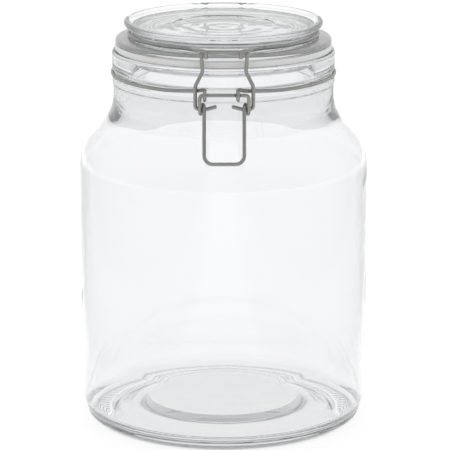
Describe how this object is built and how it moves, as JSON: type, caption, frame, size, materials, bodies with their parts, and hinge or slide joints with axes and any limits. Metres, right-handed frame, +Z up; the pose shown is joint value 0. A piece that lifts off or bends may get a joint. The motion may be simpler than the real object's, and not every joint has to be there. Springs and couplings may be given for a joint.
{
  "type": "clip top jar",
  "caption": "Round clear glass storage jar with a hinged glass lid, a silicone seal ring and a wire swing clip that pulls the lid shut.",
  "frame": {"origin": "centre of the foot on the surface it stands on", "axes": "+Z up along the jar's axis; the clip is at the front (-Y) and the hinge at the back (+Y)"},
  "size_m": [0.144, 0.144, 0.2024],
  "materials": {
    "glass": "clear pressed soda-lime glass, glossy",
    "silicone": "translucent white silicone rubber, satin",
    "steel_wire": "drawn stainless steel wire, satin"
  },
  "bodies": {
    "jar": {"glass_jar": "glass", "neck_band": "steel_wire"},
    "lid": {"glass_lid": "glass", "seal_ring": "silicone", "lid_band": "steel_wire"},
    "lever": {"clip_lever": "steel_wire"},
    "link": {"clip_link": "steel_wire"}
  },
  "joints": [
    {"name": "lid_hinge", "type": "hinge", "parent": "jar", "child": "lid", "pos_m": [0, 0.058, 0.1934], "axis": [-1, 0, 0], "range_deg": [0, 110]},
    {"name": "lever_pivot", "type": "hinge", "parent": "jar", "child": "lever", "pos_m": [0, -0.06, 0.1761], "axis": [-1, 0, 0], "range_deg": [0, 110]},
    {"name": "link_pivot", "type": "hinge", "parent": "lever", "child": "link", "pos_m": [0, -0.05772, 0.1689], "axis": [-1, 0, 0], "range_deg": [-137.5, 0]}
  ],
  "couplings": [
    {"joint": "link_pivot", "follows": "lever_pivot", "ratio": -1.25}
  ]
}
